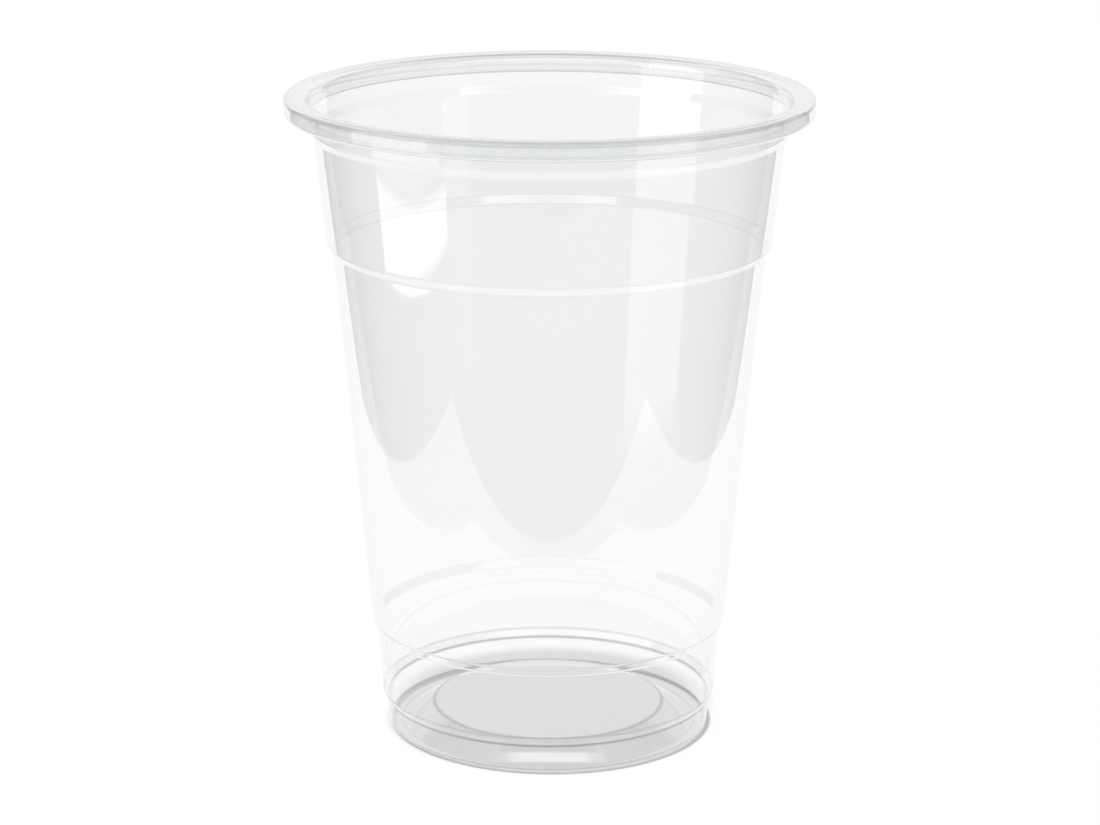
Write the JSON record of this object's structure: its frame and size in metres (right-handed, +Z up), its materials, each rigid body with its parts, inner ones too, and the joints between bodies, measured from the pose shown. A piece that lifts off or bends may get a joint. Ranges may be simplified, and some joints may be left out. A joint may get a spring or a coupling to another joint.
{
  "type": "plastic disposable cup",
  "caption": "Clear disposable drinking cup: thin tapered wall with small steps, a raised floor inside a foot ring and a hollow rolled rim that a lid fits over.",
  "frame": {"origin": "middle of the foot ring, on the surface that the cup stands on", "axes": "+Z up along the cup's axis, towards the open mouth; X and Y are alike, because the cup is round"},
  "size_m": [0.098, 0.098, 0.1218],
  "materials": {
    "clear_plastic": "clear, colourless, smooth and glossy on both faces"
  },
  "bodies": {
    "root": {"cup": "clear_plastic"}
  },
  "joints": []
}
